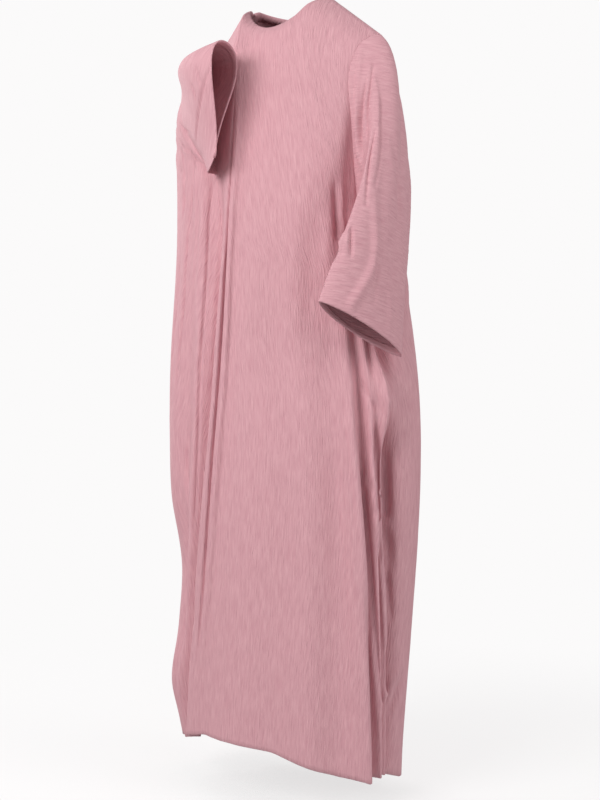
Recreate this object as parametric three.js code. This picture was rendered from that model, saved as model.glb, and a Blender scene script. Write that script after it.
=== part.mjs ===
// A loose abaya in pink crinkle crepe, in the form it takes when worn: hollow, with the left sleeve hanging and
// the right sleeve raised to the chest. Neck, hem, cuffs and armholes are open.
// Millimetres. +Z is up, +X is the garment's own left, -Y is its front. The origin is the middle of the shoulder
// line at the neck, and "down" is measured from there.

import * as THREE from "three";

// Cloth: its wall, the gap at a seam, and the gap at the two ends of an armhole
const wall = 1.8;
const seamGap = 0.34;
const endGap = 1.2;
const pink = "#cf9aa4";

// Shoulder line and neck
const shoulderTip = { out: 190, down: 84 };
const neckHalf = 84;
const neckFront = { reach: 78, down: 62 };
const neckBack = { reach: 66, down: 14 };
const shoulderRounding = 140;

// Armholes: how far down each one reaches
const underarmDown = { left: 540, right: 340 };

// Mesh steps: rows from the shoulder to the hem, columns between two fold lines, rings along a sleeve
const bodyRows = 32;
const rowCrowding = 1.22;
const frontSteps = 4;
const backSteps = 3;
const sleeveSteps = 14;

// Smooth form under the folds: a row for each level. Aside moves the middle to the left.
const form = [
  { down: 0, aside: 0, half: 178, front: 104, back: 106 },
  { down: 230, aside: 0, half: 186, front: 117, back: 117 },
  { down: 460, aside: -6, half: 208, front: 132, back: 130 },
  { down: 700, aside: -12, half: 236, front: 149, back: 148 },
  { down: 900, aside: -12, half: 240, front: 157, back: 158 },
  { down: 1150, aside: -8, half: 229, front: 156, back: 160 },
  { down: 1450, aside: -8, half: 217, front: 151, back: 158 },
];

// Fold lines run from chest to hem. Turn is in degrees round from the front middle, plus towards the left side,
// and goes on past the back. Rise is how far the line stands out of the smooth form, minus in a valley.
// Both are given at these four levels, and length is the cloth's length down to the hem there.
const foldLevels = [230, 460, 850, 1440];
const frontFolds = [
  { name: "left side seam", turn: [88, 86, 81, 96], rise: [0, -34, -58, -22], length: 1452 },
  { name: "fold by the seam", turn: [80, 74, 73, 89], rise: [0, -24, -6, -8], length: 1450 },
  { name: "crease by the seam", turn: [74, 68, 69, 85], rise: [0, -28, -14, -13], length: 1448 },
  { name: "outer side fold", turn: [68, 62, 65.5, 80], rise: [0, -22, 4, 0], length: 1450 },
  { name: "side crease", turn: [61, 56, 60.5, 75], rise: [4, -20, -12, -16], length: 1448 },
  { name: "inner side fold", turn: [54, 50, 55, 68], rise: [10, -8, 10, 14], length: 1452 },
  { name: "soft side valley", turn: [42, 40, 44, 51], rise: [4, 0, -6, -8], length: 1440 },
  { name: "soft left fold", turn: [28, 27, 30, 33], rise: [3, 5, 5, 9], length: 1420 },
  { name: "middle valley", turn: [12, 13, 15, 13], rise: [2, 2, -3, -7], length: 1400 },
  { name: "soft right fold", turn: [-2, -2, 0, -10], rise: [4, 6, 5, 8], length: 1390 },
  { name: "slope to the main fold", turn: [-10, -9, -9, -30], rise: [6, 6, 4, 3], length: 1388 },
  { name: "main right fold", turn: [-17, -15, -17, -46], rise: [13, 14, 14, 10], length: 1400 },
  { name: "right side seam", turn: [-46, -29, -25, -54], rise: [2, -24, -36, -22], length: 1412 },
];
const backFolds = [
  { name: "near side fold", turn: [-52, -39, -33, -63], rise: [20, 2, -3, 2], length: 1418 },
  { name: "near side crease", turn: [-60, -49, -45, -70], rise: [36, 4, -16, -8], length: 1420 },
  { name: "far side fold", turn: [-70, -61, -58, -77], rise: [52, 20, 8, 12], length: 1424 },
  { name: "side edge", turn: [-88, -82, -80, -88], rise: [80, 42, 14, 26], length: 1428 },
  { name: "edge behind the arm", turn: [-112, -106, -104, -104], rise: [40, 22, 4, 10], length: 1436 },
  { name: "right back valley", turn: [-134, -130, -124, -120], rise: [0, -8, -20, -22], length: 1442 },
  { name: "right back fold", turn: [-149, -147, -142, -138], rise: [0, 6, 12, 18], length: 1448 },
  { name: "middle right valley", turn: [-164, -162, -160, -158], rise: [-2, -8, -16, -17], length: 1452 },
  { name: "middle back fold", turn: [-180, -180, -177, -179], rise: [0, 5, 9, 13], length: 1456 },
  { name: "middle left valley", turn: [-196, -195, -198, -197], rise: [-2, -7, -18, -22], length: 1460 },
  { name: "left back fold", turn: [-210, -209, -212, -214], rise: [0, 7, 16, 20], length: 1464 },
  { name: "left back valley", turn: [-222, -223, -226, -229], rise: [0, -4, -14, -16], length: 1466 },
  { name: "edge behind the sleeve", turn: [-234, -236, -238, -240], rise: [10, 10, 10, 8], length: 1468 },
  { name: "outer left flare", turn: [-250, -250, -252, -250], rise: [4, 16, 29, 6], length: 1466 },
  { name: "flare by the seam", turn: [-264, -264, -269, -258], rise: [-4, -8, -2, -8], length: 1458 },
];
const folds = [...frontFolds, ...backFolds];

// Places where a fold swells or is pinched in: the change in its rise at one level, and how far above and below
// that level it reaches
const bulges = [
  { fold: "outer side fold", down: 745, reach: 110, rise: 8 },
  { fold: "crease by the seam", down: 755, reach: 115, rise: 26 },
  { fold: "fold by the seam", down: 760, reach: 120, rise: 36 },
  { fold: "left side seam", down: 760, reach: 120, rise: 52 },
  { fold: "near side fold", down: 1310, reach: 125, rise: 14 },
  { fold: "near side crease", down: 1090, reach: 170, rise: -12 },
  { fold: "near side crease", down: 1310, reach: 125, rise: 22 },
  { fold: "far side fold", down: 1085, reach: 170, rise: -17 },
  { fold: "far side fold", down: 1315, reach: 120, rise: 18 },
  { fold: "side edge", down: 1085, reach: 150, rise: -10 },
];
const leftSeam = 0;
const rightSeam = frontFolds.length - 1;
const fullRound = folds.length;

// Panels: the fold lines they run between, and how many fold lines each edge draws back at its armhole
const frontPanel = {
  first: leftSeam,
  last: rightSeam,
  steps: frontSteps,
  firstDrawn: 5,
  lastDrawn: 0,
  firstSide: "left",
  lastSide: "right",
  facing: -1,
  neck: neckFront,
};
const backPanel = {
  first: rightSeam,
  last: fullRound,
  steps: backSteps,
  firstDrawn: 4,
  lastDrawn: 3,
  firstSide: "right",
  lastSide: "left",
  facing: 1,
  neck: neckBack,
};

// Cuffs: long and short are the two axes of the opening. Travel is the way the cloth arrives at it, at the end that
// long points to and at the far end. Start is where the line from the shoulder meets the opening, in degrees from
// the long axis. Corners sharpens both ends of the opening, and taper makes it narrow towards the far end.
const leftCuff = {
  middle: new THREE.Vector3(224, -133, -636),
  long: new THREE.Vector3(-31, -90, 45),
  short: new THREE.Vector3(1, -0.33, 0.03),
  halfWidth: 106,
  halfDepth: 30,
  corners: 1.35,
  taper: 0,
  travel: { near: new THREE.Vector3(-0.1, -0.38, -0.89), far: new THREE.Vector3(0.12, -0.27, -0.95) },
  start: 90,
};
const rightCuff = {
  middle: new THREE.Vector3(-43, -180, -208),
  long: new THREE.Vector3(8, 6, 100),
  short: new THREE.Vector3(-0.1, 1, -0.02),
  halfWidth: 103,
  halfDepth: 30,
  corners: 1,
  taper: 1.5,
  travel: { near: new THREE.Vector3(1, -0.12, 0.1), far: new THREE.Vector3(0.5, -0.27, 0.82) },
  start: 0,
};

// How the sleeves hang. Round is the way the front edge of the armhole runs round the cuff. Opening is the angle in
// degrees at which the cloth leaves each panel. Leave and arrive are how far it keeps to the direction of its two
// ends, in shares of its length, with leave given at the shoulder and at the foot of the armhole.
const leftHang = {
  round: -1,
  opening: { front: 88, back: 60, foot: 88 },
  leave: { shoulder: 0.16, foot: 0.3 },
  arrive: 0.36,
};
const rightHang = {
  round: 1,
  opening: { front: 88, back: 10, foot: 88 },
  leave: { shoulder: 0.2, foot: 0.3 },
  arrive: 0.4,
};

// How late along an armhole, from shoulder to foot, its foot begins to be felt: in the gap, and in the opening
const footGapPower = 6;
const footOpeningPower = 4;
const shoulderOpening = 0.7;

function mix(a, b, share) {
  return a + (b - a) * share;
}

function clamp(value, low, high) {
  return Math.min(high, Math.max(low, value));
}

// Value at a level from a table's levels and values, along a smooth curve through them
function valueAt(levels, values, level) {
  const last = levels.length - 1;
  const at = clamp(level, levels[0], levels[last]);
  let i = 0;
  while (i < last - 1 && at > levels[i + 1]) {
    i += 1;
  }
  const slope = (k) => {
    const before = Math.max(k - 1, 0);
    const after = Math.min(k + 1, last);
    return (values[after] - values[before]) / (levels[after] - levels[before]);
  };
  const span = levels[i + 1] - levels[i];
  const s = (at - levels[i]) / span;
  const rest = 1 - s;
  return (
    rest * rest * (1 + 2 * s) * values[i] +
    s * s * (3 - 2 * s) * values[i + 1] +
    s * rest * rest * span * slope(i) -
    s * s * rest * span * slope(i + 1)
  );
}

const formLevels = form.map((row) => row.down);

function formAt(column, down) {
  const values = form.map((row) => row[column]);
  return valueAt(formLevels, values, down);
}

// What the bulges add to a fold's rise at a level, fading smoothly to their ends
function bulgeAt(fold, down) {
  let rise = 0;
  for (const bulge of bulges) {
    const away = Math.abs(down - bulge.down) / bulge.reach;
    if (bulge.fold === fold.name && away < 1) {
      rise += (bulge.rise * (1 + Math.cos(away * Math.PI))) / 2;
    }
  }
  return rise;
}

// Place of a fold line in plan at a level
function foldPlace(fold, down) {
  const turn = THREE.MathUtils.degToRad(valueAt(foldLevels, fold.turn, down));
  const rise = valueAt(foldLevels, fold.rise, down) + bulgeAt(fold, down);
  const half = formAt("half", down);
  const depth = Math.cos(turn) > 0 ? formAt("front", down) : formAt("back", down);
  const place = new THREE.Vector3(formAt("aside", down) + half * Math.sin(turn), -depth * Math.cos(turn), 0);
  const outwards = new THREE.Vector3(Math.sin(turn) / half, -Math.cos(turn) / depth, 0).normalize();
  return place.addScaledVector(outwards, rise);
}

// Section of the body at a level, as a closed curve through all fold lines
const sections = new Map();

function sectionAt(down) {
  const key = down.toFixed(3);
  if (!sections.has(key)) {
    const points = folds.map((fold) => foldPlace(fold, down));
    sections.set(key, new THREE.CatmullRomCurve3(points, true, "centripetal"));
  }
  return sections.get(key);
}

function sectionPoint(line, down) {
  const share = (((line % fullRound) + fullRound) % fullRound) / fullRound;
  return sectionAt(down).getPoint(share);
}

function lengthAt(line) {
  const low = Math.floor(line);
  const lowFold = folds[((low % fullRound) + fullRound) % fullRound];
  const highFold = folds[(((low + 1) % fullRound) + fullRound) % fullRound];
  return mix(lowFold.length, highFold.length, line - low);
}

function rowShare(row) {
  return (row / bodyRows) ** rowCrowding;
}

// Row at which the armhole ends on a side
function underarmRow(side) {
  const hem = form[form.length - 1].down;
  const share = (underarmDown[side] - shoulderTip.down) / (hem - shoulderTip.down);
  return Math.round(bodyRows * share ** (1 / rowCrowding));
}

// How far an edge is drawn back at a row of the armhole: fully near the shoulder, and not at all at its foot
function drawnBack(row, side) {
  const share = clamp(rowShare(row) / rowShare(underarmRow(side)), 0, 1);
  return Math.cos((share * Math.PI) / 2);
}

// Fold-line number of a column at a row
function lineAt(panel, share, row) {
  const first = panel.first + panel.firstDrawn * drawnBack(row, panel.firstSide);
  const last = panel.last - panel.lastDrawn * drawnBack(row, panel.lastSide);
  return mix(first, last, share);
}

// Point on the shoulder seam or the neck edge that a column hangs from
function topPoint(panel, share) {
  const chest = foldLevels[0];
  const x = sectionPoint(lineAt(panel, share, 0), chest).x;
  const edgeShare = x > 0 === (panel.firstSide === "left") ? 0 : 1;
  const edge = sectionPoint(lineAt(panel, edgeShare, 0), chest).x;
  const out = shoulderTip.out * (x / Math.abs(edge));
  const beyond = Math.abs(out) / neckHalf;
  if (beyond >= 1) {
    const along = (Math.abs(out) - neckHalf) / (shoulderTip.out - neckHalf);
    return new THREE.Vector3(out, 0, -shoulderTip.down * along);
  }
  const hollow = Math.sqrt(1 - beyond * beyond);
  return new THREE.Vector3(out, panel.facing * panel.neck.reach * hollow, -panel.neck.down * hollow ** 2);
}

function bodyPoint(panel, share, row) {
  const top = topPoint(panel, share);
  const line = lineAt(panel, share, row);
  const topDown = -top.z;
  const down = mix(topDown, lengthAt(line), rowShare(row));
  const section = sectionPoint(line, down);
  const near = clamp((down - topDown) / shoulderRounding, 0, 1);
  const spread = Math.sqrt(1 - (1 - near) * (1 - near));
  return new THREE.Vector3(mix(top.x, section.x, spread), mix(top.y, section.y, spread), -down);
}

// Rows of points of a panel, with one more column past each edge for the slope there
function panelGrid(panel) {
  const columns = (panel.last - panel.first) * panel.steps;
  const grid = [];
  for (let row = 0; row <= bodyRows; row += 1) {
    const points = [];
    for (let column = -1; column <= columns + 1; column += 1) {
      points.push(bodyPoint(panel, column / columns, row));
    }
    grid.push(points);
  }
  return grid;
}

// Outward direction at each point of a grid; it faces out for rows that go down and columns that go left to right
// round the front
function gridNormals(grid, wraps) {
  const lastRow = grid.length - 1;
  const count = grid[0].length;
  return grid.map((points, row) =>
    points.map((point, column) => {
      const before = wraps ? (column + count - 1) % count : Math.max(column - 1, 0);
      const after = wraps ? (column + 1) % count : Math.min(column + 1, count - 1);
      const across = new THREE.Vector3().subVectors(points[after], points[before]);
      const above = grid[Math.max(row - 1, 0)][column];
      const below = grid[Math.min(row + 1, lastRow)][column];
      const downwards = new THREE.Vector3().subVectors(below, above);
      return new THREE.Vector3().crossVectors(across, downwards).normalize();
    }),
  );
}

// Closed cloth wall on a grid of outer points
function clothWall(outer, normals, wraps) {
  const rows = outer.length;
  const columns = outer[0].length;
  const layer = rows * columns;
  const positions = [];
  for (const points of outer) {
    for (const point of points) {
      positions.push(point.x, point.y, point.z);
    }
  }
  outer.forEach((points, row) =>
    points.forEach((point, column) => {
      const inner = point.clone().addScaledVector(normals[row][column], -wall);
      positions.push(inner.x, inner.y, inner.z);
    }),
  );
  const index = [];
  const quad = (a, b, c, d) => index.push(a, c, b, a, d, c);
  const at = (row, column, inside) => (inside ? layer : 0) + row * columns + (column % columns);
  const spans = wraps ? columns : columns - 1;
  for (let row = 0; row < rows - 1; row += 1) {
    for (let column = 0; column < spans; column += 1) {
      quad(at(row, column), at(row + 1, column), at(row + 1, column + 1), at(row, column + 1));
      quad(at(row, column + 1, true), at(row + 1, column + 1, true), at(row + 1, column, true), at(row, column, true));
    }
  }
  for (let column = 0; column < spans; column += 1) {
    quad(at(0, column + 1), at(0, column + 1, true), at(0, column, true), at(0, column));
    quad(at(rows - 1, column), at(rows - 1, column, true), at(rows - 1, column + 1, true), at(rows - 1, column + 1));
  }
  if (!wraps) {
    for (let row = 0; row < rows - 1; row += 1) {
      quad(at(row, 0), at(row, 0, true), at(row + 1, 0, true), at(row + 1, 0));
      const end = columns - 1;
      quad(at(row + 1, end), at(row + 1, end, true), at(row, end, true), at(row, end));
    }
  }
  const geometry = new THREE.BufferGeometry();
  geometry.setAttribute("position", new THREE.Float32BufferAttribute(positions, 3));
  geometry.setIndex(index);
  geometry.computeVertexNormals();
  return geometry;
}

function clothMesh(name, geometry) {
  const material = new THREE.MeshStandardMaterial({ color: pink, roughness: 0.85, side: THREE.DoubleSide });
  const mesh = new THREE.Mesh(geometry, material);
  mesh.name = name;
  return mesh;
}

// Panel with its seam edges set back by half the gap. Its outer points and normals are kept for the sleeves.
function makePanel(panel) {
  const wide = panelGrid(panel);
  const wideNormals = gridNormals(wide, false);
  const outer = wide.map((points) => points.slice(1, -1));
  const normals = wideNormals.map((row) => row.slice(1, -1));
  const end = outer[0].length - 1;
  outer[0].forEach((point, column) => {
    if (Math.abs(point.x) >= neckHalf) {
      point.y += (panel.facing * seamGap) / 2;
      const slope = shoulderTip.down / (shoulderTip.out - neckHalf);
      normals[0][column].set(Math.sign(point.x) * slope, 0, 1).normalize();
    }
  });
  outer.slice(1).forEach((points) => {
    const setBack = (edge, inside) => {
      const inwards = new THREE.Vector3().subVectors(points[inside], points[edge]).normalize();
      points[edge].addScaledVector(inwards, seamGap / 2);
    };
    setBack(0, 1);
    setBack(end, end - 1);
  });
  return { outer, normals, end };
}

// Armhole edge of one panel at a row: its point, the way out of the panel, and the way out of the cloth
function armholeEdge(made, edge, row) {
  const point = made.outer[row][edge];
  const inside = made.outer[row][edge === 0 ? 1 : edge - 1];
  const along = new THREE.Vector3().subVectors(made.outer[row + 1][edge], made.outer[row - 1][edge]).normalize();
  const onwards = new THREE.Vector3().subVectors(point, inside);
  onwards.addScaledVector(along, -onwards.dot(along)).normalize();
  return { point, onwards, outwards: made.normals[row][edge] };
}

// Ring round an armhole from the shoulder down one panel and up the other
function armholeRing(front, frontEdge, back, backEdge, side) {
  const foot = underarmRow(side);
  const between = (row, onwards) => {
    const point = new THREE.Vector3().addVectors(front.outer[row][frontEdge], back.outer[row][backEdge]);
    return { point: point.multiplyScalar(0.5), onwards: onwards.normalize(), outwards: front.normals[row][frontEdge] };
  };
  const outOfTip = armholeEdge(front, frontEdge, 1).onwards.add(armholeEdge(back, backEdge, 1).onwards);
  const ring = [{ ...between(0, outOfTip), share: 0, half: "front" }];
  for (let row = 1; row < foot; row += 1) {
    ring.push({ ...armholeEdge(front, frontEdge, row), share: row / foot, half: "front" });
  }
  const upTheSeam = new THREE.Vector3().subVectors(front.outer[foot][frontEdge], front.outer[foot + 1][frontEdge]);
  ring.push({ ...between(foot, upTheSeam), share: 1, half: "front" });
  for (let row = foot - 1; row > 0; row -= 1) {
    ring.push({ ...armholeEdge(back, backEdge, row), share: row / foot, half: "back" });
  }
  return ring;
}

// Point on a cuff's edge, its ends drawn to soft corners
function cuffPoint(cuff, degrees) {
  const long = cuff.long.clone().normalize();
  const short = cuff.short.clone();
  short.addScaledVector(long, -short.dot(long)).normalize();
  const angle = THREE.MathUtils.degToRad(degrees);
  const sine = Math.sin(angle);
  const depth = Math.sign(sine) * Math.abs(sine) ** cuff.corners * (1 + Math.cos(angle)) ** cuff.taper;
  return cuff.middle
    .clone()
    .addScaledVector(long, cuff.halfWidth * Math.cos(angle))
    .addScaledVector(short, cuff.halfDepth * depth);
}

// Sleeve: each point of the armhole ring runs along a smooth curve to its point on the cuff
function makeSleeve(ring, cuff, hang) {
  const lines = ring.map((place) => {
    const clear = place.share > 0 ? mix(seamGap, endGap, place.share ** footGapPower) : endGap;
    const start = place.point.clone().addScaledVector(place.onwards, clear);
    const degrees = cuff.start + hang.round * (place.half === "front" ? 180 : -180) * place.share;
    const end = cuffPoint(cuff, degrees);
    const farShare = (1 - Math.cos(THREE.MathUtils.degToRad(degrees))) / 2;
    const travel = new THREE.Vector3().lerpVectors(cuff.travel.near, cuff.travel.far, farShare).normalize();
    const full = mix(hang.opening[place.half], hang.opening.foot, place.share ** footOpeningPower);
    const angle = THREE.MathUtils.degToRad(full * Math.min(1, place.share / shoulderOpening));
    const leaving = new THREE.Vector3()
      .addScaledVector(place.onwards, Math.cos(angle))
      .addScaledVector(place.outwards, Math.sin(angle));
    const distance = start.distanceTo(end);
    const leave = mix(hang.leave.shoulder, hang.leave.foot, place.share) * distance;
    const arrive = hang.arrive * distance;
    const curve = new THREE.CubicBezierCurve3(
      start,
      start.clone().addScaledVector(leaving, leave),
      end.clone().addScaledVector(travel, -arrive),
      end,
    );
    return curve.getPoints(sleeveSteps);
  });
  const outer = [];
  for (let step = 0; step <= sleeveSteps; step += 1) {
    outer.push(lines.map((points) => points[step]));
  }
  return outer;
}

const front = makePanel(frontPanel);
const back = makePanel(backPanel);
const leftRing = armholeRing(front, 0, back, back.end, "left");
const rightRing = armholeRing(front, front.end, back, 0, "right");
const leftSleeve = makeSleeve(leftRing, leftCuff, leftHang);
const rightSleeve = makeSleeve(rightRing, rightCuff, rightHang);
rightSleeve.forEach((points) => points.reverse());

const garment = new THREE.Group();
garment.name = "abaya";
garment.add(clothMesh("front_panel", clothWall(front.outer, front.normals, false)));
garment.add(clothMesh("back_panel", clothWall(back.outer, back.normals, false)));
garment.add(clothMesh("sleeve_left", clothWall(leftSleeve, gridNormals(leftSleeve, true), true)));
garment.add(clothMesh("sleeve_right", clothWall(rightSleeve, gridNormals(rightSleeve, true), true)));

export default garment;
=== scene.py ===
# %% [markdown]
# # An abaya in pink crinkle crepe
# An abaya is a long loose dress that hangs from the shoulders. This one is cut very wide, with batwing
# sleeves: the sleeve's armhole runs far down the body, so most of the cloth hangs in long folds from a
# few points. It is shown as it is worn, with nobody in it: the left sleeve hangs, and the right one is
# raised to the chest.
#
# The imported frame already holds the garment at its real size, as four stiff walls: a front, a back and
# two sleeves. They have the outline and the main folds. Here each wall becomes cloth: a finer and
# thinner sheet on the same form, with smaller creases, the crinkle of the crepe, turned hems, stitches
# and a fabric finish.

# %% The frame and the units
import math

import bmesh
import bpy
import numpy as np
from mathutils import Matrix, Vector


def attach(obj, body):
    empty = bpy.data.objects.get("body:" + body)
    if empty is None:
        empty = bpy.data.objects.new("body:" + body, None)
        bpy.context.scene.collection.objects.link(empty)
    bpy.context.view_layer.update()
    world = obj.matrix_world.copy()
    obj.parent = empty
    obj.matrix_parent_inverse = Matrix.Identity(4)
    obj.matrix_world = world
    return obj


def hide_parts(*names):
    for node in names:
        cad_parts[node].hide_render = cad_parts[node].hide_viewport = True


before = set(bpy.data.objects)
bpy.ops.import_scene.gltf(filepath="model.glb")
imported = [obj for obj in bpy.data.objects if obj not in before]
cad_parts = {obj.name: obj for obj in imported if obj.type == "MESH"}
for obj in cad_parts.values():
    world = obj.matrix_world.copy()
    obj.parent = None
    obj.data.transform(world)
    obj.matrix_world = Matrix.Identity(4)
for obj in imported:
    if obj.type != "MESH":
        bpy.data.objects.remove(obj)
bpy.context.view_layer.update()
MM = 0.001

# %% [markdown]
# ## Reading the form of a piece
# Every wall was built as a net of rows and columns, with an outer and an inner skin and a narrow rim
# between them. In model.glb the points are kept and the net is lost. A copy of the node is merged, so
# that its loose triangles share their points again. The triangles of the rim have a side exactly as long
# as the wall is thick. Without them the wall falls into two skins, and the outer one is kept.

# %% The outer skin of a wall
WALL = 1.8 * MM
MERGE_DISTANCE = 0.01 * MM
RIM_TOLERANCE = 0.003 * MM


def is_rim(face):
    return any(abs(edge.calc_length() - WALL) < RIM_TOLERANCE for edge in face.edges)


def island(face):
    """The faces that can be reached from a face without leaving its skin"""
    found = {face}
    waiting = [face]
    while waiting:
        for edge in waiting.pop().edges:
            for beside in edge.link_faces:
                if beside not in found:
                    found.add(beside)
                    waiting.append(beside)
    return found


def faces_outwards(faces):
    middle = sum((face.calc_center_median() for face in faces), Vector()) / len(faces)
    return sum(f.calc_area() * f.normal.dot(f.calc_center_median() - middle) for f in faces) > 0


def outer_skin(node):
    skin = bmesh.new()
    skin.from_mesh(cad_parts[node].data)
    bmesh.ops.remove_doubles(skin, verts=skin.verts, dist=MERGE_DISTANCE)
    rim = [face for face in skin.faces if is_rim(face)]
    bmesh.ops.delete(skin, geom=rim, context="FACES_ONLY")
    loose = [edge for edge in skin.edges if not edge.link_faces]
    bmesh.ops.delete(skin, geom=loose, context="EDGES")
    skin.faces.ensure_lookup_table()
    first = island(skin.faces[0])
    inner = [face for face in skin.faces if (face in first) != faces_outwards(first)]
    bmesh.ops.delete(skin, geom=inner, context="FACES")
    return skin


# %% [markdown]
# The net itself comes back by walking. A row is a chain of points, and the triangle that hangs from each
# of its edges ends in the point below and one further on. The first row of a panel runs along its
# shoulders and neck, between its two highest corners. The first row of a sleeve is its armhole.

# %% Rows and columns of a skin
NET_VALENCE = 4


def next_point(a, b):
    """Third point of the triangle whose border runs from a to b, or nothing at the net's edge"""
    for loop in a.link_loops:
        if loop.link_loop_next.vert == b:
            return loop.link_loop_prev.vert
    return None


def border_chains(skin):
    """The skin's open edges as chains of points from corner to corner, or one closed chain if it is round"""
    onwards = {}
    for edge in skin.edges:
        if len(edge.link_loops) == 1:
            loop = edge.link_loops[0]
            onwards[loop.vert] = loop.link_loop_next.vert
    corners = [point for point in onwards if len(point.link_edges) < NET_VALENCE]
    chains = []
    while onwards:
        start = next((corner for corner in corners if corner in onwards), next(iter(onwards)))
        chain = [start]
        while chain[-1] in onwards:
            chain.append(onwards.pop(chain[-1]))
            if chain[-1] in corners:
                break
        chains.append(chain)
    return chains


def rows_of(skin, closed):
    chains = border_chains(skin)
    if closed:
        row = max(chains, key=lambda chain: max(point.co.z for point in chain))[:-1]
        foot = min(range(len(row)), key=lambda k: row[k].co.z)
        row = row[foot:] + row[:foot]
    else:
        row = max(chains, key=lambda chain: chain[0].co.z + chain[-1].co.z)
    rows = []
    while row:
        rows.append([point.co.copy() for point in row])
        ends = row[1:] + row[:1] if closed else row[1:]
        below = [next_point(a, b) for a, b in zip(row, ends)]
        if below[0] is None:
            break
        if closed:
            row = below[-1:] + below[:-1]
        else:
            row = [next_point(row[0], below[0])] + below
    return np.array(rows)


nets = {}
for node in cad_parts:
    skin = outer_skin(node)
    nets[node] = rows_of(skin, closed=node.startswith("sleeve"))
    print(node, "net of rows, columns:", nets[node].shape[:2], "from", len(skin.faces), "triangles")
    skin.free()

# %% [markdown]
# ## A finer net on the same form
# Cloth bends smoothly, so the new sheet follows a cubic spline through the net's points, down the
# columns and along the rows. Its own points are evenly spaced in real millimetres, close enough to carry
# the crinkle of the crepe: close across the crinkles and wider along them. A spline's weights depend
# only on how many points there are, so one matrix does all rows and another does all columns.

# %% Splines through rows and columns
SPLINE_SIDE = 1 / 6
SPLINE_MIDDLE = 4 / 6
CORNER_ROWS = 1.5


def spline_weights(count, places, closed):
    """Matrix that carries count points to places on the smooth curve through them"""
    through = np.eye(count) * SPLINE_MIDDLE + (np.eye(count, k=1) + np.eye(count, k=-1)) * SPLINE_SIDE
    if closed:
        through[0, -1] = through[-1, 0] = SPLINE_SIDE
    else:
        through[0] = np.eye(count)[0]
        through[-1] = np.eye(count)[-1]
    base = np.floor(places).astype(int)
    if not closed:
        base = np.clip(base, 0, count - 2)
    t = places - base
    basis = [(1 - t) ** 3, 3 * t**3 - 6 * t**2 + 4, -3 * t**3 + 3 * t**2 + 3 * t + 1, t**3]
    weights = np.zeros((len(places), count))
    rows = np.arange(len(places))
    for shift, share in zip((-1, 0, 1, 2), basis):
        control = base + shift
        share = share * SPLINE_SIDE
        if closed:
            np.add.at(weights, (rows, control % count), share)
            continue
        before, after = control < 0, control > count - 1
        inside = ~(before | after)
        np.add.at(weights, (rows[inside], control[inside]), share[inside])
        np.add.at(weights, (rows[before], 0), 2 * share[before])
        np.add.at(weights, (rows[before], 1), -share[before])
        np.add.at(weights, (rows[after], count - 1), 2 * share[after])
        np.add.at(weights, (rows[after], count - 2), -share[after])
    return weights @ np.linalg.inv(through)


def even_places(net, axis, step, closed):
    """Places along a net's rows or columns that lie the same real distance apart"""
    line = np.concatenate([net, net[:, :1]], axis=1) if closed else net
    lengths = np.linalg.norm(np.diff(line, axis=axis), axis=2).mean(axis=1 - axis)
    travelled = np.concatenate([[0], np.cumsum(lengths)])
    count = math.ceil(travelled[-1] / step)
    return np.interp(np.linspace(0, travelled[-1], count + 1), travelled, np.arange(len(travelled)))


def straight_weights(count, places):
    """Matrix that carries count points to places on the straight lines between them"""
    return np.array([np.interp(places, np.arange(count), np.eye(count)[k]) for k in range(count)]).T


def finer(net, down_step, across_step, closed):
    """A finer net on splines through a net. Its first row keeps the corners between shoulder and neck"""
    down_places = even_places(net, 0, down_step, False)
    down = spline_weights(len(net), down_places, False)
    across_places = even_places(net, 1, across_step, closed)
    across = spline_weights(net.shape[1], across_places, closed)
    smooth = np.einsum("ir,rcx,jc->ijx", down, net, across)
    if closed:
        return smooth
    plain = np.einsum("ir,rcx,jc->ijx", down, net, straight_weights(net.shape[1], across_places))
    share = np.clip(down_places / CORNER_ROWS, 0, 1)[:, None, None]
    return plain * (1 - share) + smooth * share


def outward(points):
    """Unit normals of a net of points, on the outer side"""
    down = np.gradient(points, axis=0)
    along = np.gradient(points, axis=1)
    closed = np.allclose(points[:, 0], points[:, -1])
    if closed:
        along[:, 0] = along[:, -1] = (points[:, 1] - points[:, -2]) / 2
    normals = np.cross(along, down)
    length = np.linalg.norm(normals, axis=2, keepdims=True)
    return normals / np.maximum(length, 1e-12)


CLOTH = {
    "front": {"node": "front_panel", "closed": False, "down_step": 8.9 * MM, "across_step": 1.8 * MM},
    "back": {"node": "back_panel", "closed": False, "down_step": 10.4 * MM, "across_step": 2.7 * MM},
    "left_sleeve": {"node": "sleeve_left", "closed": True, "down_step": 2.4 * MM, "across_step": 3.0 * MM},
    "right_sleeve": {"node": "sleeve_right", "closed": True, "down_step": 2.4 * MM, "across_step": 3.0 * MM},
}
for name, piece in CLOTH.items():
    piece["points"] = finer(nets[piece["node"]], piece["down_step"], piece["across_step"], piece["closed"])
    piece["normals"] = outward(piece["points"])
    print(name, "sheet of rows, columns:", piece["points"].shape[:2])

# %% [markdown]
# ## The cloth's own measure
# The weave, the crinkle and the stitches are laid out on the flat cloth, not in space. Each point gets
# its place on the cloth in metres: how far across, counted from the middle of its row, and how far down
# its column. The same two numbers become the piece's UV map.

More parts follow.
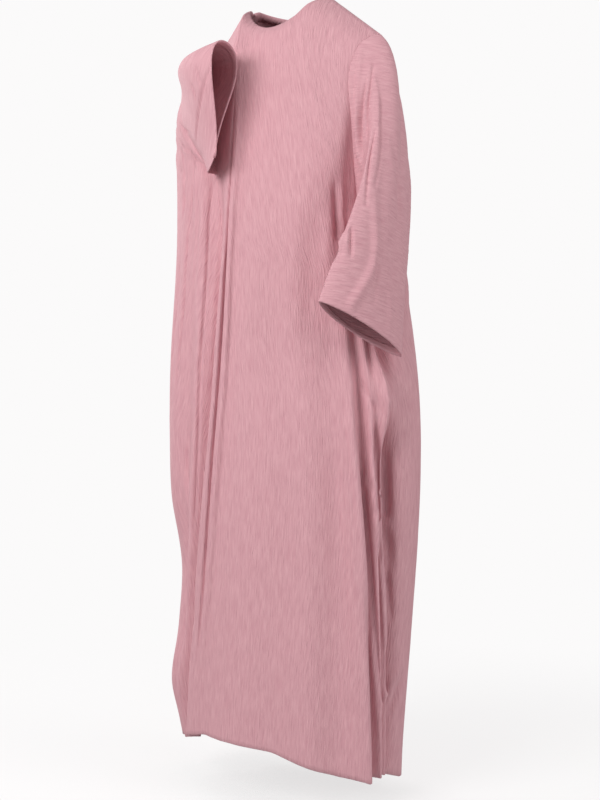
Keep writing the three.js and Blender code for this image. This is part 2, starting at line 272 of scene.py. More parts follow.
# %% Places on the cloth
for piece in CLOTH.values():
    points = piece["points"]
    steps_across = np.linalg.norm(np.diff(points, axis=1), axis=2)
    steps_down = np.linalg.norm(np.diff(points, axis=0), axis=2)
    across = np.concatenate([np.zeros((len(points), 1)), np.cumsum(steps_across, axis=1)], axis=1)
    down = np.concatenate([np.zeros((1, points.shape[1])), np.cumsum(steps_down, axis=0)], axis=0)
    piece["width"] = across[:, -1]
    piece["across"] = across - across[:, -1:] / 2
    piece["down"] = down
    if piece["closed"]:
        travel = points[-1].mean(axis=0) - points[0, np.argmax(points[0, :, 2])]
        piece["over"] = points @ (travel / np.linalg.norm(travel))
        piece["along"] = piece["across"]
    else:
        piece["over"] = piece["across"]
        piece["along"] = -points[:, :, 2]
    print("cloth", piece["node"], "width", piece["width"].min().round(3), "to", piece["width"].max().round(3),
          "length", down[-1].min().round(3), "to", down[-1].max().round(3))

# %% [markdown]
# ## The camera
# The photograph is taken level from the garment's front left, at an azimuth of 32 degrees. How strongly
# the near cuff and the far hem differ in scale gives a distance of 2.6 m. The garment stands a little
# left of the picture's middle, which a small shift of the lens does without turning the view.

# %% A camera at the photograph's angle
PHOTO_WIDTH = 600
PHOTO_HEIGHT = 800
PHOTO_AZIMUTH = 32
CAMERA_DISTANCE = 2.6
CAMERA_HEIGHT = -0.76
FOCAL_PIXELS = 1352
MIDDLE_PIXEL = 293
SENSOR = 36

camera_data = bpy.data.cameras.new("camera")
camera_data.sensor_width = SENSOR
camera_data.lens = FOCAL_PIXELS / PHOTO_HEIGHT * SENSOR
camera_data.shift_x = (PHOTO_WIDTH / 2 - MIDDLE_PIXEL) / PHOTO_HEIGHT
camera = bpy.data.objects.new("camera", camera_data)
bpy.context.scene.collection.objects.link(camera)
bpy.context.scene.camera = camera
turn = math.radians(PHOTO_AZIMUTH)
camera.location = (CAMERA_DISTANCE * math.sin(turn), -CAMERA_DISTANCE * math.cos(turn), CAMERA_HEIGHT)
camera.rotation_euler = (math.pi / 2, 0, turn)
print("camera at", [round(c, 3) for c in camera.location], "lens", round(camera_data.lens, 1), "mm")

# %% [markdown]
# ## Creases placed one by one
# The frame has the large folds. The smaller creases, which show how the cloth is pulled, are each a soft
# ridge or a trough along a line. A line is given where it is seen: by the azimuth of the view and by its
# places in the 600 x 800 picture that this camera takes from there. At the garment one pixel is about
# 1.9 mm. Each step of the line goes straight back from the picture until it meets the cloth. Width and
# height are real millimetres, and a minus height is a trough. The creases on the hidden sides are seen
# from other azimuths.

# %% Finding a line on the cloth from a view
REACH_PIXELS = 12
NEAR_PIXELS = 2.8
TIE_BREAK = 0.01
CREASE_STEPS = 40
EASING = (0.25, 0.5, 0.25)
EASINGS = 8
CREASE_END = 0.01
ROUNDNESS = 2.4
ALIKE = 0.2


def seen_from(azimuth, points):
    """Pixels across and down, and distance from the camera, of points in the picture from an azimuth"""
    angle = math.radians(azimuth)
    sideways = points[..., 0] * math.cos(angle) + points[..., 1] * math.sin(angle)
    away = CAMERA_DISTANCE - points[..., 0] * math.sin(angle) + points[..., 1] * math.cos(angle)
    scale = FOCAL_PIXELS / away
    x = MIDDLE_PIXEL + sideways * scale
    y = PHOTO_HEIGHT / 2 - (points[..., 2] - CAMERA_HEIGHT) * scale
    return np.stack([x, y, away], axis=-1)


def points_at(azimuth, x, y, away):
    """The points that show at pixels x and y, so far away from the camera: the way back of seen_from"""
    angle = math.radians(azimuth)
    ahead = CAMERA_DISTANCE - away
    sideways = (x - MIDDLE_PIXEL) * away / FOCAL_PIXELS
    along_x = sideways * math.cos(angle) + ahead * math.sin(angle)
    along_y = sideways * math.sin(angle) - ahead * math.cos(angle)
    height = CAMERA_HEIGHT + (PHOTO_HEIGHT / 2 - y) * away / FOCAL_PIXELS
    return np.stack([along_x, along_y, height], axis=-1)


def facing_cloth(azimuth):
    """All cloth points that face the camera at an azimuth, as they are seen from there, and their normals"""
    angle = math.radians(azimuth)
    towards = np.array([math.sin(angle), -math.cos(angle), 0])
    seen, normals = [], []
    for piece in CLOTH.values():
        facing = piece["normals"] @ towards > 0
        seen.append(seen_from(azimuth, piece["points"][facing]))
        normals.append(piece["normals"][facing])
    return np.concatenate(seen), np.concatenate(normals)


def eased(values):
    """Values along a line with their small steps smoothed away"""
    for _ in range(EASINGS):
        values = np.convolve(np.pad(values, 1, mode="edge"), EASING, mode="valid")
    return values


def crease_line(azimuth, pixels, seen, normals):
    """The crease's line on the nearest cloth that shows along its pixels, and the cloth's normal there"""
    weights = spline_weights(len(pixels), np.linspace(0, len(pixels) - 1, CREASE_STEPS), False)
    places = weights @ np.array(pixels, float)
    low = places.min(axis=0) - REACH_PIXELS
    high = places.max(axis=0) + REACH_PIXELS
    inside = np.all((seen[:, :2] > low) & (seen[:, :2] < high), axis=1)
    seen, normals = seen[inside], normals[inside]
    apart = np.linalg.norm(seen[:, None, :2] - places[None], axis=2)
    cost = seen[:, 2:] + apart * np.where(apart < NEAR_PIXELS, TIE_BREAK, 1)
    nearest = cost.argmin(axis=0)
    away = eased(seen[nearest, 2])
    return points_at(azimuth, places[:, 0], places[:, 1], away), normals[nearest]


def nearest_on_line(points, line):
    """Distance of each point from the line, and the number of the line's nearest step"""
    steps = np.diff(line, axis=0)
    away = points[:, None] - line[None, :-1]
    share = np.einsum("psk,sk->ps", away, steps) / np.maximum(np.einsum("sk,sk->s", steps, steps), 1e-12)
    apart = np.linalg.norm(away - np.clip(share, 0, 1)[:, :, None] * steps[None], axis=2)
    return apart.min(axis=1), apart.argmin(axis=1)


def press_crease(line, normals, width, height):
    """Moves all cloth near the line along its normals: fully on the line, and not at all at half the width"""
    strength = np.sqrt(np.sin(math.pi * np.linspace(CREASE_END, 1 - CREASE_END, CREASE_STEPS)))
    low = line.min(axis=0) - width
    high = line.max(axis=0) + width
    for piece in CLOTH.values():
        near = np.all((piece["points"] > low) & (piece["points"] < high), axis=2)
        if not near.any():
            continue
        apart, closest = nearest_on_line(piece["points"][near], line)
        share = np.clip(apart / (width / 2), 0, 1)
        bump = (1 - share) ** ROUNDNESS * (1 + ROUNDNESS * share)
        alike = np.einsum("pk,pk->p", piece["normals"][near], normals[closest]) > ALIKE
        piece["lift"][near] += bump * alike * strength[closest] * height


for piece in CLOTH.values():
    piece["lift"] = np.zeros(piece["points"].shape[:2])

# %% The creases: pixels of the line, width and height in millimetres
BACK_AZIMUTH = PHOTO_AZIMUTH + 180
LEFT_AZIMUTH = PHOTO_AZIMUTH + 90
RIGHT_AZIMUTH = PHOTO_AZIMUTH + 270

CREASES = {
    PHOTO_AZIMUTH: [
        # Folds dragged from the left shoulder down beside the armhole
        ([(361, 46), (357, 100), (357, 140), (361, 172)], 18, 4.5),
        ([(367, 74), (362, 110), (361, 142), (364, 168)], 12, -5.5),
        ([(374, 63), (370, 87), (367, 114), (367, 140)], 12, -5),
        ([(376, 128), (371, 150), (368, 175), (366, 205)], 12, -5),
        ([(381, 95), (381, 125), (380, 157), (375, 187)], 14, -3.4),
        ([(392, 134), (396, 160), (398, 187), (400, 221)], 28, -2.8),
        # The hollow between the chest and the hanging sleeve, and the sleeve's front ridge
        ([(336, 180), (337, 205), (338, 232), (337, 258)], 30, -10),
        ([(352, 226), (351, 240), (351, 256)], 15, -6),
        ([(344, 222), (341, 238), (337, 258)], 16, 4),
        ([(375, 195), (375, 230), (374, 262), (361, 290), (343, 317)], 34, 6),
        ([(377, 246), (376, 272), (374, 302)], 24, -2.6),
        ([(386, 262), (390, 300), (389, 340)], 30, 2.4),
        # Broad soft valleys and swells down the front
        ([(311, 214), (310, 262), (309, 304), (304, 362)], 80, -4.5),
        ([(328, 214), (328, 240), (326, 264)], 44, 4),
        ([(282, 470), (286, 545), (290, 640)], 90, -4),
        ([(330, 450), (338, 540), (345, 650)], 70, -4),
        # Folds of the raised sleeve, and the dimples where its back is pushed together
        ([(210, 66), (203, 88), (198, 115), (195, 148)], 16, -4.5),
        ([(196, 67), (199, 78), (202, 88)], 12, -3.2),
        ([(191, 83), (194, 92), (197, 101)], 12, -3.2),
        ([(180, 124), (185, 131), (190, 134)], 14, -4.5),
        ([(180, 142), (184, 150), (190, 155)], 18, 3.5),
        ([(179, 160), (181, 169), (184, 177)], 14, -4),
        ([(181, 190), (184, 199), (183, 208)], 14, -4),
        # Long folds that fall from the raised sleeve
        ([(196, 150), (192, 200), (187, 242), (184, 298), (180, 345), (178, 384)], 10, -6),
        ([(213, 186), (210, 210), (208, 242), (205, 298), (200, 370), (198, 442), (194, 530)], 10, -6.5),
        ([(204, 190), (201, 242), (197, 298), (192, 360)], 24, 3.5),
        ([(219, 170), (218, 242), (213, 320), (208, 400)], 24, 3),
        ([(234, 104), (230, 170), (226, 242), (220, 354), (212, 456), (204, 568), (197, 657)], 11, -9),
        ([(239, 110), (235, 180), (231, 242), (226, 354), (218, 456), (210, 568), (202, 657)], 22, 5.5),
        ([(385, 450), (386, 500), (389, 565)], 36, -12),
        ([(190, 420), (187, 480), (189, 540)], 18, -4),
        # The pouch under the left cuff
        ([(360, 380), (370, 398), (386, 416)], 18, -5),
        ([(372, 380), (384, 396), (394, 406)], 20, 4),
        # Edges of the folds at the left side, down to the hem
        ([(348, 400), (351, 435), (355, 470), (361, 533), (368, 608), (375, 678), (379, 734)], 24, 5),
        ([(356, 410), (360, 450), (364, 498), (369, 550), (375, 620), (381, 690)], 20, -7),
        ([(370, 410), (375, 505), (380, 561), (384, 620), (389, 671)], 20, 5),
        ([(376, 430), (381, 505), (386, 561), (391, 620)], 20, -7),
        ([(404, 660), (392, 681), (381, 706)], 22, 6),
        ([(406, 672), (397, 692), (387, 716)], 22, -7),
    ],
    BACK_AZIMUTH: [
        # Drag folds and long soft folds of the back
        ([(228, 74), (236, 110), (240, 160), (243, 215)], 22, 4),
        ([(238, 88), (247, 128), (250, 172)], 18, -4),
        ([(352, 72), (345, 105), (343, 160), (346, 205)], 22, 4),
        ([(343, 96), (336, 135), (335, 176)], 16, -3.6),
        ([(262, 210), (258, 280), (262, 350)], 44, -4.5),
        ([(318, 260), (322, 330), (320, 410), (325, 470)], 36, 4.5),
        ([(285, 420), (281, 500), (284, 590), (280, 660)], 38, -5),
        ([(350, 480), (356, 560), (360, 640)], 30, 4.5),
        ([(226, 500), (220, 570), (223, 650)], 28, -4.5),
    ],
    LEFT_AZIMUTH: [
        # The left side and the back of the hanging sleeve
        ([(282, 90), (276, 130), (279, 175)], 20, 4),
        ([(296, 110), (300, 160), (297, 212)], 18, -3.6),
        ([(262, 230), (256, 272), (246, 306)], 26, 4),
        ([(300, 380), (304, 450), (300, 520)], 28, -4.5),
        ([(318, 520), (314, 600), (318, 690)], 28, 4.5),
        ([(282, 560), (286, 640), (284, 710)], 24, -4.5),
    ],
    RIGHT_AZIMUTH: [
        # The right side
        ([(262, 110), (268, 150), (266, 196)], 18, -4),
        ([(285, 150), (288, 210), (284, 280)], 26, 4),
        ([(262, 240), (258, 330), (262, 420)], 28, -4.5),
        ([(300, 300), (303, 390), (298, 470)], 30, -4.5),
        ([(278, 480), (282, 570), (277, 660)], 28, 4.5),
        ([(318, 500), (322, 600), (318, 690)], 26, -4.5),
    ],
}
for azimuth, creases in CREASES.items():
    seen, facing_normals = facing_cloth(azimuth)
    for pixels, width, height in creases:
        line, line_normals = crease_line(azimuth, pixels, seen, facing_normals)
        press_crease(line, line_normals, width * MM, height * MM)
    print(len(creases), "creases placed from azimuth", azimuth)

# %% [markdown]
# ## The crinkle
# Crinkle crepe is woven with over-twisted yarn, which draws up when it is washed and leaves narrow
# wandering ridges along the cloth. They run down the body and, as the sleeves are cut sideways from the
# same cloth, round the sleeves. Each ridge is 4 to 8 mm wide and some centimetres long, and stands out a
# quarter of a millimetre. A lattice of random heights, smoothed between its points and stretched along
# the cloth, gives such ridges. A shorter one breaks them up, and a slow one bends them. The random
# numbers have a fixed seed, so each run gives the same cloth.

# %% Crinkle from stretched noise
LATTICE = 256
RIDGE_WIDTH = 5.3 * MM
RIDGE_LENGTH = 47 * MM
BREAK_WIDTH = 4.7 * MM
BREAK_LENGTH = 21 * MM
WANDER_WIDTH = 27 * MM
WANDER_LENGTH = 80 * MM
WANDER = 3.5 * MM
RIDGE_SHARE = 0.6
BREAK_SHARE = 0.5
CRINKLE_HEIGHT = 0.24 * MM
SEAM_CALM = 14 * MM
LEAST_AT_SEAM = 0.35


def smooth_noise(seed, x, y):
    """Smooth random heights from -1 to 1 with one lattice point for each unit of x and y"""
    heights = np.random.default_rng(seed).uniform(-1, 1, (LATTICE, LATTICE))
    column, row = np.floor(x).astype(int), np.floor(y).astype(int)
    s, t = x - column, y - row
    s, t = s * s * (3 - 2 * s), t * t * (3 - 2 * t)
    left, right = column % LATTICE, (column + 1) % LATTICE
    top, bottom = row % LATTICE, (row + 1) % LATTICE
    upper = heights[left, top] * (1 - s) + heights[right, top] * s
    lower = heights[left, bottom] * (1 - s) + heights[right, bottom] * s
    return upper * (1 - t) + lower * t


def crinkle(seed, over, along):
    """Height of the crinkle, from about -1 to 1, at places over and along the ridges"""
    bend = smooth_noise(seed, over / WANDER_WIDTH, along / WANDER_LENGTH) * WANDER
    ridges = smooth_noise(seed + 1, (over + bend) / RIDGE_WIDTH, along / RIDGE_LENGTH)
    breaks = smooth_noise(seed + 2, (over + bend) / BREAK_WIDTH, along / BREAK_LENGTH)
    return RIDGE_SHARE * ridges + BREAK_SHARE * breaks


for seed, (name, piece) in enumerate(CLOTH.items()):
    across, down = piece["across"], piece["down"]
    relief = crinkle(10 * seed, piece["over"], piece["along"])
    to_edge = np.minimum(down, down[-1:] - down)
    if not piece["closed"]:
        to_edge = np.minimum(to_edge, piece["width"][:, None] / 2 - np.abs(across))
    calm = LEAST_AT_SEAM + (1 - LEAST_AT_SEAM) * np.clip(to_edge / SEAM_CALM, 0, 1)
    lift = piece["lift"] + relief * calm * CRINKLE_HEIGHT
    if piece["closed"]:
        lift[:, -1] = lift[:, 0]
    piece["points"] = piece["points"] + piece["normals"] * lift[:, :, None]
    piece["normals"] = outward(piece["points"])
    print(name, "crinkle height", (relief.std() * CRINKLE_HEIGHT / MM).round(2), "mm")

# %% [markdown]
# ## From rows and columns to a sheet of cloth
# A bmesh grid has the same rows and columns, so it only needs its points moved to their places. Every
# edge is turned under, as a maker does it: 20 mm at the hem, 13 mm at the cuffs, and 9 mm at the neck
# and along each seam, where the allowance is pressed flat behind the cloth. Turned edges look round and
# thick, and a raw edge would look like paper. Solidify then gives the sheet its own thickness, inwards.

# %% Turned edges
THICKNESS = 0.8 * MM
TURN = 1.7 * MM
HEM = 20 * MM
CUFF_HEM = 13 * MM
ALLOWANCE = 9 * MM
POINT, NORMAL, OVER, ALONG = slice(0, 3), slice(3, 6), 6, 7


def turned_under(sheet, depth):
    """Adds rows past the last one that round the edge and run back under the cloth"""
    steps = np.linalg.norm(sheet[-1, :, POINT] - sheet[-2, :, POINT], axis=1).mean()
    count = max(2, round(depth / steps))
    past = sheet[-1, :, POINT] - sheet[-2, :, POINT]
    past /= np.maximum(np.linalg.norm(past, axis=1, keepdims=True), 1e-9)
    rounding = sheet[-1:].copy()
    rounding[0, :, POINT] += past * TURN / 2 - rounding[0, :, NORMAL] * TURN / 2
    under = sheet[-2 : -2 - count : -1].copy()
    under[:, :, POINT] -= under[:, :, NORMAL] * TURN
    return np.concatenate([sheet, rounding, under])


def with_turned_edges(piece, bottom):
    sheet = np.concatenate(
        [piece["points"], piece["normals"], piece["over"][:, :, None], piece["along"][:, :, None]], axis=2
    )
    sheet = turned_under(sheet, bottom)
    sheet = turned_under(sheet[::-1], ALLOWANCE)[::-1]
    if not piece["closed"]:
        sideways = sheet.transpose(1, 0, 2)
        sideways = turned_under(sideways, ALLOWANCE)
        sideways = turned_under(sideways[::-1], ALLOWANCE)[::-1]
        sheet = sideways.transpose(1, 0, 2)
    return sheet


# %% A sheet as a Blender object
WELD_DISTANCE = 0.02 * MM


def sheet_object(name, sheet, closed):
    rows, columns = sheet.shape[:2]
    cloth = bmesh.new()
    bmesh.ops.create_grid(cloth, x_segments=columns - 1, y_segments=rows - 1, size=1)
    cloth.verts.ensure_lookup_table()
    plain = np.array([vert.co for vert in cloth.verts])
    column = np.rint((plain[:, 0] + 1) / 2 * (columns - 1)).astype(int)
    row = np.rint((1 - plain[:, 1]) / 2 * (rows - 1)).astype(int)
    places = sheet[row, column]
    uv = cloth.loops.layers.uv.new("cloth")
    for vert, place in zip(cloth.verts, places):
        vert.co = place[POINT]
        for loop in vert.link_loops:
            loop[uv].uv = (place[OVER], place[ALONG])
    if closed:
        bmesh.ops.remove_doubles(cloth, verts=cloth.verts, dist=WELD_DISTANCE)
    for face in cloth.faces:
        face.smooth = True
    mesh = bpy.data.meshes.new(name)
    cloth.to_mesh(mesh)
    cloth.free()
    sheet_piece = bpy.data.objects.new(name, mesh)
    bpy.context.scene.collection.objects.link(sheet_piece)
    solidify = sheet_piece.modifiers.new("thickness", "SOLIDIFY")
    solidify.thickness = THICKNESS
    solidify.offset = -1
    solidify.use_quality_normals = True
    return sheet_piece


for name, piece in CLOTH.items():
    sheet = with_turned_edges(piece, CUFF_HEM if piece["closed"] else HEM)
    piece["object"] = sheet_object(name, sheet, piece["closed"])
    faces = len(piece["object"].data.polygons)
    print(name, "sheet with", faces, "faces, about", 4 * faces, "triangles with its thickness")

# %% [markdown]
# ## The finish: dyed polyester crinkle crepe
# The cloth is a light polyester crepe, piece-dyed a dusty pink. Its twisted yarns scatter light, so it
# is matte, with a faint soft sheen where it turns away. The ridges of the crinkle catch the light and
# the hollows between them fall into shade, and that shade is painted into the colour too: darker and
# redder in the hollows, lighter on the ridges. Three patterns give this: a noise stretched along the
# cloth makes the fine wrinkles, 2 to 4 mm wide, and sets their painted shade, a shorter one breaks them
# up, and a finer one is the grain of the twisted yarn.

# %% Colours, nodes and the crepe
def linear(hex_colour):
    """An sRGB hex colour as linear red, green, blue and alpha"""
    parts = [int(hex_colour[k : k + 2], 16) / 255 for k in (1, 3, 5)]
    return [c / 12.92 if c <= 0.04045 else ((c + 0.055) / 1.055) ** 2.4 for c in parts] + [1]


def add_node(tree, kind, links=(), **settings):
    """A node with its settings and its incoming links, given as (input, node, output)"""
    node = tree.nodes.new(kind)
    for key, value in settings.items():
        if key in node.inputs:
            node.inputs[key].default_value = value
        else:
            setattr(node, key, value)
    for socket, source, output in links:
        tree.links.new(source.outputs[output], node.inputs[socket])
    return node


def new_material(name):
    material = bpy.data.materials.new(name)
    material.use_nodes = True
    material.node_tree.nodes.clear()
    return material, material.node_tree


# Lighter pink on the crinkle's ridges and a darker, redder pink in its hollows: painted shade in the hollows.
LIT_RIDGE_PINK = "#d9a6ad"
SHADED_HOLLOW_PINK = "#ca949d"
GRAIN = 1.1 * MM
WRINKLE_WIDTH = 2.2 * MM
WRINKLE_LENGTH = 34 * MM
RIPPLE_WIDTH = 1.8 * MM
RIPPLE_LENGTH = 11 * MM
WRINKLE_DEPTH = 1.5 * MM
RIPPLE_DEPTH = 0.7 * MM
GRAIN_DEPTH = 0.1 * MM


def stretched_noise(tree, uv, width, length, warp):
    """Noise whose lumps are about as wide and as long on the cloth as given"""
    place = add_node(tree, "ShaderNodeMapping", [("Vector", uv, "UV")], Scale=(1 / width, 1 / length, 1))
    noise = add_node(tree, "ShaderNodeTexNoise", [("Vector", place, "Vector")], Distortion=warp)
    noise.inputs["Scale"].default_value = 1.0
    noise.inputs["Detail"].default_value = 1.5
    noise.inputs["Roughness"].default_value = 0.5
    return noise


def crinkle_crepe():
    material, tree = new_material("crinkle_crepe")
    uv = add_node(tree, "ShaderNodeUVMap", uv_map="cloth")
    wrinkle = stretched_noise(tree, uv, WRINKLE_WIDTH, WRINKLE_LENGTH, 0.35)
    ripple = stretched_noise(tree, uv, RIPPLE_WIDTH, RIPPLE_LENGTH, 0.6)
    grain = add_node(tree, "ShaderNodeTexNoise", [("Vector", uv, "UV")], Scale=1 / GRAIN, Detail=3.0)
    # Painted shade: the wrinkle noise makes the colour darker and redder in the hollows and lighter on the
    # ridges.
    painted_shade = add_node(tree, "ShaderNodeMapRange", [("Value", wrinkle, "Fac")])
    painted_shade.inputs["From Min"].default_value = 0.3
    painted_shade.inputs["From Max"].default_value = 0.7
    colour = add_node(tree, "ShaderNodeMix", [("Factor", painted_shade, "Result")], data_type="RGBA")
    for socket in colour.inputs:
        if socket.type == "RGBA":
            socket.default_value = linear(SHADED_HOLLOW_PINK if socket.name == "A" else LIT_RIDGE_PINK)
    wrinkles = add_node(tree, "ShaderNodeBump", [("Height", wrinkle, "Fac")], Strength=1.0)
    wrinkles.inputs["Distance"].default_value = WRINKLE_DEPTH
    under_ripples = [("Height", ripple, "Fac"), ("Normal", wrinkles, "Normal")]
    ripples = add_node(tree, "ShaderNodeBump", under_ripples, Strength=0.8, Distance=RIPPLE_DEPTH)
    under_grain = [("Height", grain, "Fac"), ("Normal", ripples, "Normal")]
    bump = add_node(tree, "ShaderNodeBump", under_grain, Strength=0.4, Distance=GRAIN_DEPTH)
    shader = add_node(tree, "ShaderNodeBsdfPrincipled", [("Normal", bump, "Normal")], Roughness=0.78)
    colour_out = next(output for output in colour.outputs if output.type == "RGBA")
    tree.links.new(colour_out, shader.inputs["Base Color"])
    shader.inputs["Specular IOR Level"].default_value = 0.3
    shader.inputs["Sheen Weight"].default_value = 0.12
    shader.inputs["Sheen Roughness"].default_value = 0.45
    shader.inputs["Sheen Tint"].default_value = linear("#f0cdd2")
    add_node(tree, "ShaderNodeOutputMaterial", [("Surface", shader, "BSDF")])
    return material


crepe = crinkle_crepe()
for piece in CLOTH.values():
    piece["object"].data.materials.append(crepe)

# %% [markdown]
# ## Stitches
# The hem, the cuffs and the neck are topstitched near the inner edge of what is turned under. The thread
# is polyester too, twisted and dyed to match, so a row shows only as small even beads. Each stitch is a
# tiny stretched icosphere that lies half sunk in the cloth, and a whole row is one mesh. On the real
# thing a stitch is 3 mm long and the thread 0.3 mm thick, and here it is drawn twice as thick, or it
# wouldn't show.

# %% Rows of stitches
STITCH_STEP = 3.6 * MM
STITCH_LENGTH = 2.7 * MM
THREAD = 0.6 * MM
HEM_STITCH = 17 * MM
CUFF_STITCH = 10 * MM
NECK_STITCH = 6 * MM
NECK_HALF = 84 * MM
THREAD_PINK = "#c7959e"
THREAD_SHADE = "#b5828c"
TWIST = 0.7 * MM


def line_on(piece, distance, from_top):
    """Points and normals of the cloth at a distance from its top or bottom edge"""
    ends = (0, 1) if from_top else (-1, -2)
    step = np.linalg.norm(piece["points"][ends[1]] - piece["points"][ends[0]], axis=1).mean()
    rows = distance / step
    whole = int(rows)
    near, far = (whole, whole + 1) if from_top else (-1 - whole, -2 - whole)
    share = rows - whole
    return [piece[key][near] * (1 - share) + piece[key][far] * share for key in ("points", "normals")]


def stitch_places(path, normals):
    """Frame of each stitch along a path: its own X runs along the row and its Z out of the cloth"""
    travelled = np.concatenate([[0], np.cumsum(np.linalg.norm(np.diff(path, axis=0), axis=1))])
    places = np.arange(STITCH_STEP / 2, travelled[-1], STITCH_STEP)

    def along(values, at):
        return np.stack([np.interp(at, travelled, values[:, k]) for k in range(3)], axis=1)

    ahead = along(path, places + STITCH_LENGTH / 2) - along(path, places - STITCH_LENGTH / 2)
    for middle, forward, normal in zip(along(path, places), ahead, along(normals, places)):
        forward = Vector(forward).normalized()
        side = Vector(normal).cross(forward).normalized()
        turn = Matrix((forward, side, forward.cross(side))).transposed()
        size = Matrix.Diagonal((STITCH_LENGTH, THREAD, THREAD))
        yield Matrix.Translation(Vector(middle)) @ (turn @ size).to_4x4()


def stitch_row(name, path, normals, thread):
    row = bmesh.new()
    for place in stitch_places(path, normals):
        bmesh.ops.create_icosphere(row, subdivisions=1, radius=0.5, matrix=place)
    for face in row.faces:
        face.smooth = True
    mesh = bpy.data.meshes.new(name)
    row.to_mesh(mesh)
    row.free()
    mesh.materials.append(thread)
    stitches = bpy.data.objects.new(name, mesh)
    bpy.context.scene.collection.objects.link(stitches)
    print(name, "with", len(mesh.polygons), "triangles")
    return stitches


def sewing_thread():
    """Twisted polyester thread: a touch deeper than the cloth, smoother and a little glossier"""
    material, tree = new_material("polyester_thread")
    place = add_node(tree, "ShaderNodeTexCoord")
    twist = add_node(tree, "ShaderNodeTexNoise", [("Vector", place, "Object")], Scale=1 / TWIST)
    twist.inputs["Detail"].default_value = 1.0
    colour = add_node(tree, "ShaderNodeMix", [("Factor", twist, "Fac")], data_type="RGBA")
    for socket in colour.inputs:
        if socket.type == "RGBA":
            socket.default_value = linear(THREAD_SHADE if socket.name == "A" else THREAD_PINK)
    bump = add_node(tree, "ShaderNodeBump", [("Height", twist, "Fac")], Strength=0.5, Distance=0.1 * MM)
    shader = add_node(tree, "ShaderNodeBsdfPrincipled", [("Normal", bump, "Normal")], Roughness=0.5)
    colour_out = next(output for output in colour.outputs if output.type == "RGBA")
    tree.links.new(colour_out, shader.inputs["Base Color"])
    add_node(tree, "ShaderNodeOutputMaterial", [("Surface", shader, "BSDF")])
    return material


thread = sewing_thread()
seams = []
for name in ("front", "back"):
    piece = CLOTH[name]
    seams.append(stitch_row(f"{name}_hem_stitches", *line_on(piece, HEM_STITCH, False), thread))
    path, normals = line_on(piece, NECK_STITCH, True)
    at_neck = np.abs(piece["points"][0, :, 0]) < NECK_HALF
    seams.append(stitch_row(f"{name}_neck_stitches", path[at_neck], normals[at_neck], thread))
for name in ("left_sleeve", "right_sleeve"):
    seams.append(stitch_row(f"{name}_cuff_stitches", *line_on(CLOTH[name], CUFF_STITCH, False), thread))

# %% [markdown]
# ## Floor, light and background
# A plain pale studio: a thin floor just under the hem, which fades out into the white surround, and a
# large soft light from the side of the picture where the photograph's folds are lightest. A second light
# fills the hanging sleeve, a weak one stands overhead, and one behind shows the back's folds. All stand
# in real metres round the garment.

# %% The studio
FLOOR_DOWN = 1.5
FLOOR_HALF = 1.7
FLOOR_FADE = 0.4
FLOOR_THIN = 0.75
STUDIO_WHITE = "#fbfafa"
SURROUND_LIGHT = 0.4


def soft_light(name, azimuth, height, distance, size, power):
    light = bpy.data.lights.new(name, "AREA")
    light.shape = "DISK"
    light.size = size
    light.energy = power
    lamp = bpy.data.objects.new(name, light)
    angle = math.radians(azimuth)
    lamp.location = (distance * math.sin(angle), -distance * math.cos(angle), height)
    aim = Vector((0, 0, CAMERA_HEIGHT)) - lamp.location
    lamp.rotation_euler = aim.to_track_quat("-Z", "Y").to_euler()
    bpy.context.scene.collection.objects.link(lamp)


studio = bpy.data.worlds.new("studio")
bpy.context.scene.world = studio
studio.use_nodes = True
studio_tree = studio.node_tree
studio_tree.nodes.clear()
ray = add_node(studio_tree, "ShaderNodeLightPath")
surround = add_node(studio_tree, "ShaderNodeBackground", Color=linear(STUDIO_WHITE))
surround.inputs["Strength"].default_value = SURROUND_LIGHT
backdrop = add_node(studio_tree, "ShaderNodeBackground", Color=linear(STUDIO_WHITE), Strength=1.0)
sky_links = [(0, ray, "Is Camera Ray"), (1, surround, 0), (2, backdrop, 0)]
sky = add_node(studio_tree, "ShaderNodeMixShader", sky_links)
add_node(studio_tree, "ShaderNodeOutputWorld", [("Surface", sky, "Shader")])
soft_light("key", PHOTO_AZIMUTH - 42, 0.5, 2.6, 1.7, 60)
soft_light("fill", PHOTO_AZIMUTH + 58, 0.3, 3.5, 2.0, 46)
soft_light("overhead", PHOTO_AZIMUTH, 2.6, 1.2, 3.0, 5)
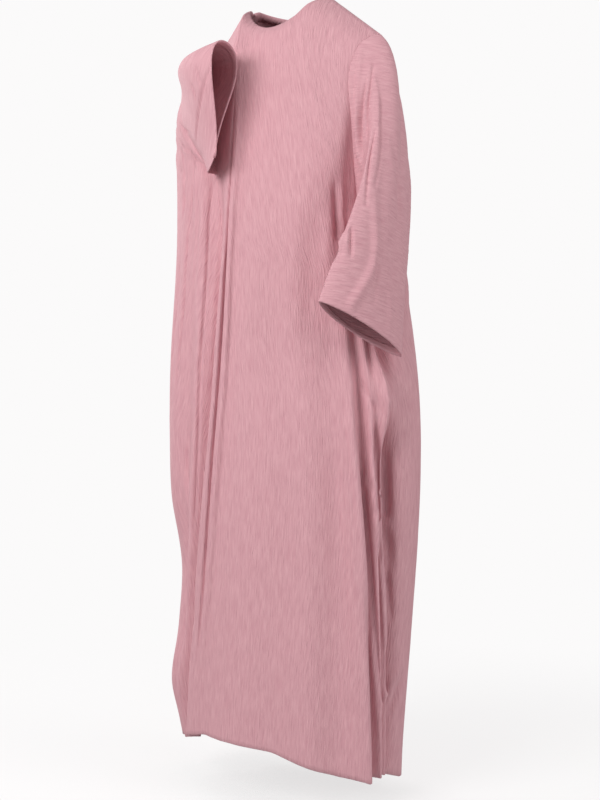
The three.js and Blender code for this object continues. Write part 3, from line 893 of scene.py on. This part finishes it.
soft_light("behind", PHOTO_AZIMUTH - 145, 0.5, 3.3, 2.2, 56)
bpy.context.scene.view_settings.view_transform = "Standard"

floor_shape = bmesh.new()
bmesh.ops.create_circle(floor_shape, cap_ends=True, segments=96, radius=FLOOR_HALF)
bmesh.ops.translate(floor_shape, verts=floor_shape.verts, vec=(0, 0, -FLOOR_DOWN))
floor_mesh = bpy.data.meshes.new("floor")
floor_shape.to_mesh(floor_mesh)
floor_shape.free()
floor = bpy.data.objects.new("floor", floor_mesh)
bpy.context.scene.collection.objects.link(floor)
floor_paint, floor_tree = new_material("matte_studio_floor")
floor_shader = add_node(floor_tree, "ShaderNodeBsdfDiffuse", Color=linear(STUDIO_WHITE))
nothing = add_node(floor_tree, "ShaderNodeBsdfTransparent")
place = add_node(floor_tree, "ShaderNodeTexCoord")
middle = (0, 0, -FLOOR_DOWN)
radius = add_node(floor_tree, "ShaderNodeVectorMath", [(0, place, "Object")], operation="DISTANCE")
radius.inputs[1].default_value = middle
fade = add_node(floor_tree, "ShaderNodeMapRange", [("Value", radius, "Value")])
fade.interpolation_type = "SMOOTHSTEP"
fade.inputs["From Min"].default_value = FLOOR_FADE
fade.inputs["From Max"].default_value = FLOOR_HALF
fade.inputs["To Min"].default_value = FLOOR_THIN
floor_links = [(0, fade, "Result"), (1, floor_shader, 0), (2, nothing, 0)]
floor_mix = add_node(floor_tree, "ShaderNodeMixShader", floor_links)
add_node(floor_tree, "ShaderNodeOutputMaterial", [("Surface", floor_mix, "Shader")])
floor_mesh.materials.append(floor_paint)

# %% [markdown]
# ## Joining the frame
# Each sheet rides on the one body, and its node of the frame is hidden. The stitches ride on the same
# body. Of the raised sleeve less shows than was cut, because its cloth is gathered towards the shoulder.

# %% Riding and replacing
for name, piece in CLOTH.items():
    sheet_piece = piece["object"]
    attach(sheet_piece, "root")
    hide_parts(piece["node"])
for stitches in seams:
    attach(stitches, "root")
